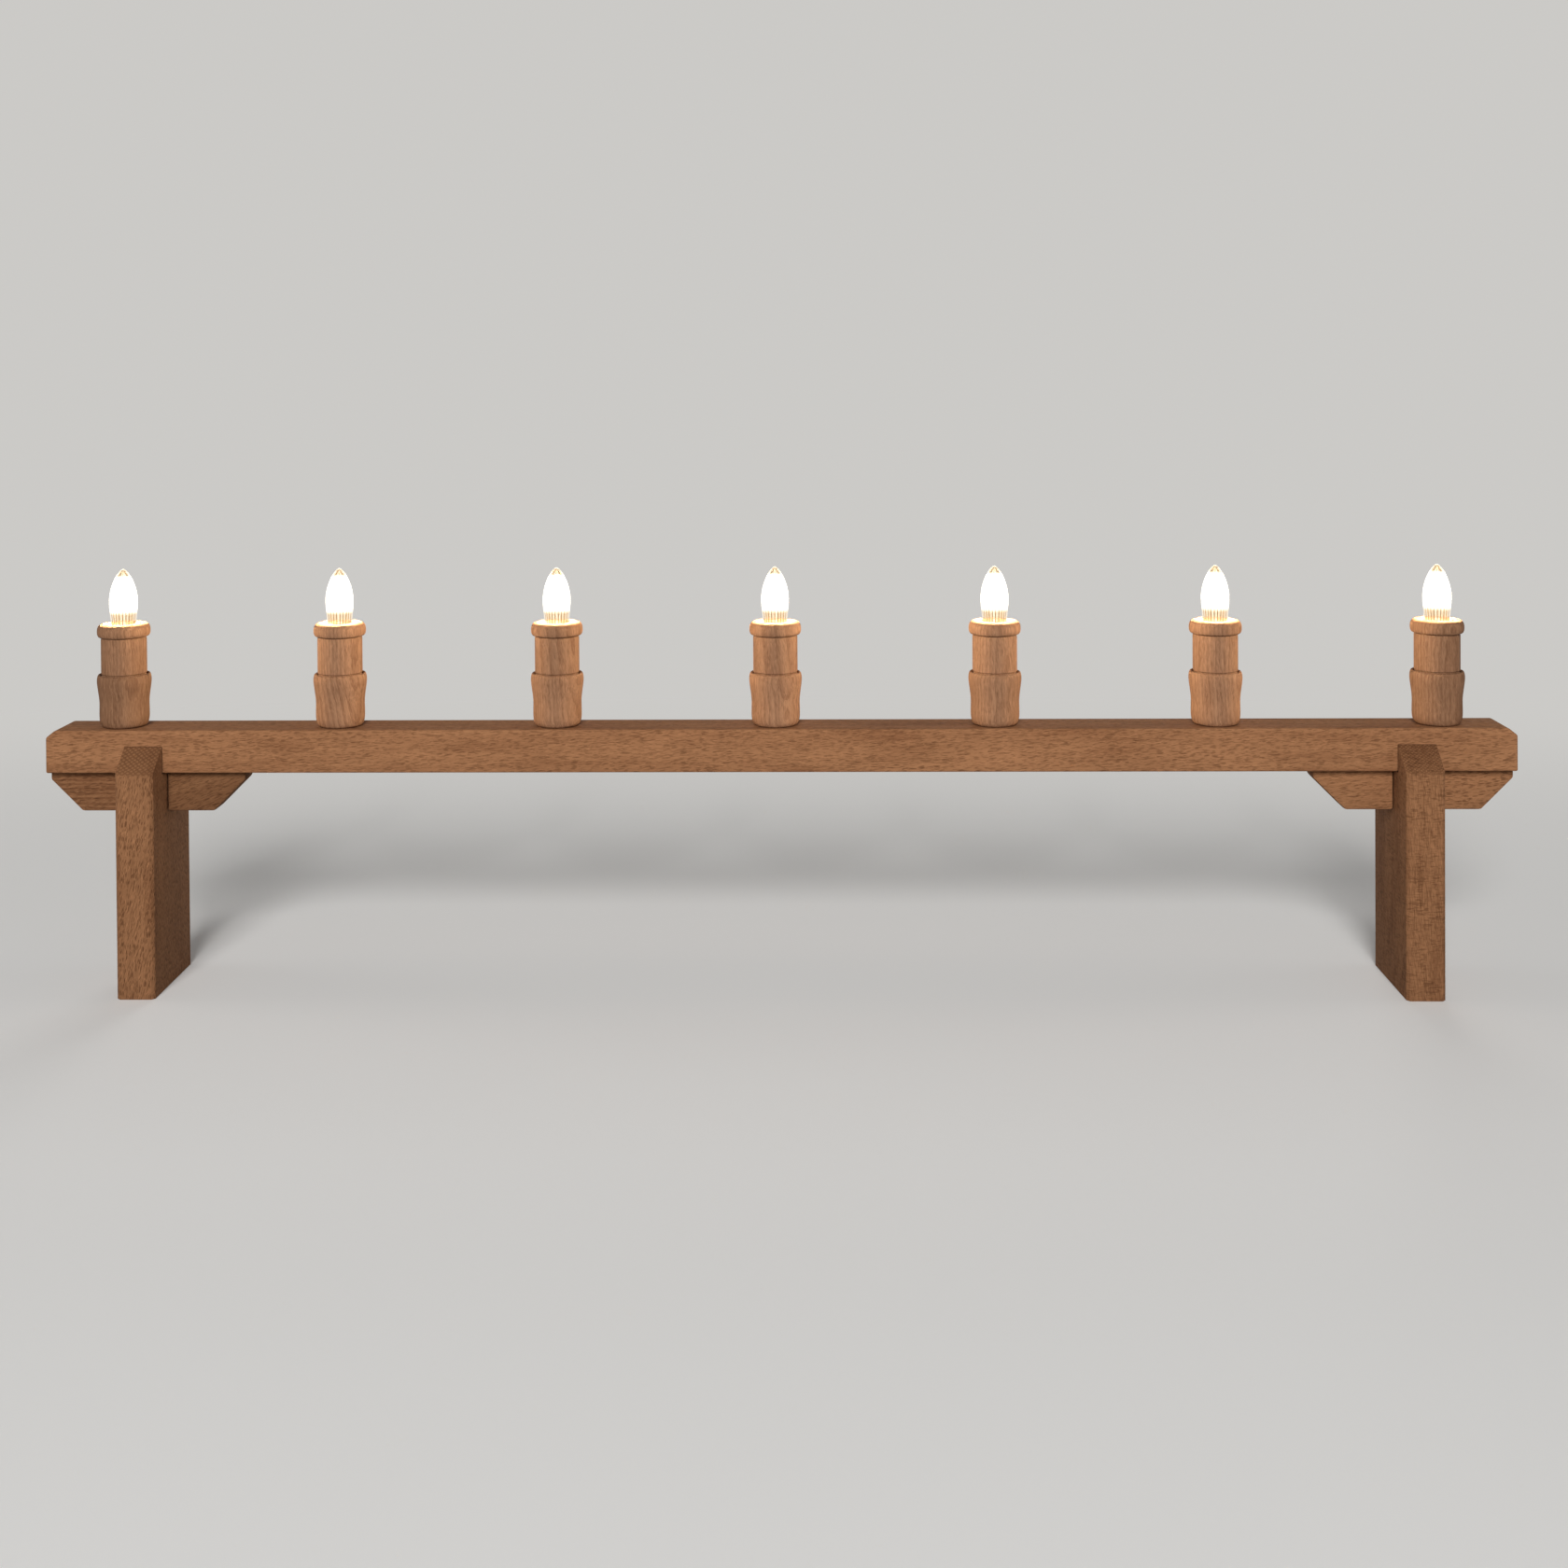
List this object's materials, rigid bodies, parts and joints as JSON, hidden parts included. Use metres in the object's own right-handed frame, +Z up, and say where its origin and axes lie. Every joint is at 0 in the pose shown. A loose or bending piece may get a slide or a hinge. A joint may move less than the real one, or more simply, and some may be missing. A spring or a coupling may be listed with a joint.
{
  "type": "electric advent candlestick",
  "caption": "Low beech bench of a beam on two notched legs, with turned wooden candles in cups that each hold a screw-in pointed bulb.",
  "frame": {"origin": "on the table, under the middle of the beam and midway between the legs' front and back edges", "axes": "+X along the beam to the right of a viewer in front, -Y towards that viewer, +Z up"},
  "size_m": [0.598, 0.047, 0.1715],
  "materials": {
    "beech": "planed and sanded beech, clear matt lacquer, short dark flecks",
    "turned_beech": "turned and sanded beech, clear matt lacquer",
    "holder_plastic": "moulded, ivory",
    "lead_insulation": "smooth insulated wire",
    "cap_brass": "rolled screw thread, bright",
    "solder": "smooth solder drop",
    "bulb_glass": "clear, lit from inside",
    "filament": "tungsten, glowing warm white"
  },
  "bodies": {
    "root": {"beam": "beech", "leg_left": "beech", "leg_right": "beech", "bracket_left_outer": "beech", "bracket_left_inner": "beech", "bracket_right_outer": "beech", "bracket_right_inner": "beech", "candle_cup_1": "turned_beech", "candle_1": "turned_beech", "lampholder_1": "holder_plastic", "contact_lead_1": "lead_insulation", "candle_cup_2": "turned_beech", "candle_2": "turned_beech", "lampholder_2": "holder_plastic", "contact_lead_2": "lead_insulation", "candle_cup_3": "turned_beech", "candle_3": "turned_beech", "lampholder_3": "holder_plastic", "contact_lead_3": "lead_insulation", "candle_cup_4": "turned_beech", "candle_4": "turned_beech", "lampholder_4": "holder_plastic", "contact_lead_4": "lead_insulation", "candle_cup_5": "turned_beech", "candle_5": "turned_beech", "lampholder_5": "holder_plastic", "contact_lead_5": "lead_insulation", "candle_cup_6": "turned_beech", "candle_6": "turned_beech", "lampholder_6": "holder_plastic", "contact_lead_6": "lead_insulation", "candle_cup_7": "turned_beech", "candle_7": "turned_beech", "lampholder_7": "holder_plastic", "contact_lead_7": "lead_insulation", "return_lead": "lead_insulation", "groove_cover": "beech"},
    "tip_1": {"bulb_tip_1": "solder"},
    "bulb_1": {"bulb_cap_1": "cap_brass", "bulb_glass_1": "bulb_glass"},
    "tip_2": {"bulb_tip_2": "solder"},
    "bulb_2": {"bulb_cap_2": "cap_brass", "bulb_glass_2": "bulb_glass"},
    "tip_3": {"bulb_tip_3": "solder"},
    "bulb_3": {"bulb_cap_3": "cap_brass", "bulb_glass_3": "bulb_glass"},
    "tip_4": {"bulb_tip_4": "solder"},
    "bulb_4": {"bulb_cap_4": "cap_brass", "bulb_glass_4": "bulb_glass"},
    "tip_5": {"bulb_tip_5": "solder"},
    "bulb_5": {"bulb_cap_5": "cap_brass", "bulb_glass_5": "bulb_glass"},
    "tip_6": {"bulb_tip_6": "solder"},
    "bulb_6": {"bulb_cap_6": "cap_brass", "bulb_glass_6": "bulb_glass"},
    "tip_7": {"bulb_tip_7": "solder"},
    "bulb_7": {"bulb_cap_7": "cap_brass", "bulb_glass_7": "bulb_glass"}
  },
  "joints": [
    {"name": "bulb_1_rise", "type": "slide", "parent": "root", "child": "tip_1", "axis": [0, 0, 1], "range_m": [0, 0.00726]},
    {"name": "bulb_1_turn", "type": "hinge", "parent": "tip_1", "child": "bulb_1", "pos_m": [-0.27, 0, 0.1275], "axis": [0, 0, 1], "range_deg": [0, 1440]},
    {"name": "bulb_2_rise", "type": "slide", "parent": "root", "child": "tip_2", "axis": [0, 0, 1], "range_m": [0, 0.00726]},
    {"name": "bulb_2_turn", "type": "hinge", "parent": "tip_2", "child": "bulb_2", "pos_m": [-0.18, 0, 0.1275], "axis": [0, 0, 1], "range_deg": [0, 1440]},
    {"name": "bulb_3_rise", "type": "slide", "parent": "root", "child": "tip_3", "axis": [0, 0, 1], "range_m": [0, 0.00726]},
    {"name": "bulb_3_turn", "type": "hinge", "parent": "tip_3", "child": "bulb_3", "pos_m": [-0.09, 0, 0.1275], "axis": [0, 0, 1], "range_deg": [0, 1440]},
    {"name": "bulb_4_rise", "type": "slide", "parent": "root", "child": "tip_4", "axis": [0, 0, 1], "range_m": [0, 0.00726]},
    {"name": "bulb_4_turn", "type": "hinge", "parent": "tip_4", "child": "bulb_4", "pos_m": [0, 0, 0.1275], "axis": [0, 0, 1], "range_deg": [0, 1440]},
    {"name": "bulb_5_rise", "type": "slide", "parent": "root", "child": "tip_5", "axis": [0, 0, 1], "range_m": [0, 0.00726]},
    {"name": "bulb_5_turn", "type": "hinge", "parent": "tip_5", "child": "bulb_5", "pos_m": [0.09, 0, 0.1275], "axis": [0, 0, 1], "range_deg": [0, 1440]},
    {"name": "bulb_6_rise", "type": "slide", "parent": "root", "child": "tip_6", "axis": [0, 0, 1], "range_m": [0, 0.00726]},
    {"name": "bulb_6_turn", "type": "hinge", "parent": "tip_6", "child": "bulb_6", "pos_m": [0.18, 0, 0.1275], "axis": [0, 0, 1], "range_deg": [0, 1440]},
    {"name": "bulb_7_rise", "type": "slide", "parent": "root", "child": "tip_7", "axis": [0, 0, 1], "range_m": [0, 0.00726]},
    {"name": "bulb_7_turn", "type": "hinge", "parent": "tip_7", "child": "bulb_7", "pos_m": [0.27, 0, 0.1275], "axis": [0, 0, 1], "range_deg": [0, 1440]}
  ],
  "couplings": [
    {"joint": "bulb_1_turn", "follows": "bulb_1_rise", "rad_per_m": 3463.7},
    {"joint": "bulb_2_turn", "follows": "bulb_2_rise", "rad_per_m": 3463.7},
    {"joint": "bulb_3_turn", "follows": "bulb_3_rise", "rad_per_m": 3463.7},
    {"joint": "bulb_4_turn", "follows": "bulb_4_rise", "rad_per_m": 3463.7},
    {"joint": "bulb_5_turn", "follows": "bulb_5_rise", "rad_per_m": 3463.7},
    {"joint": "bulb_6_turn", "follows": "bulb_6_rise", "rad_per_m": 3463.7},
    {"joint": "bulb_7_turn", "follows": "bulb_7_rise", "rad_per_m": 3463.7}
  ]
}
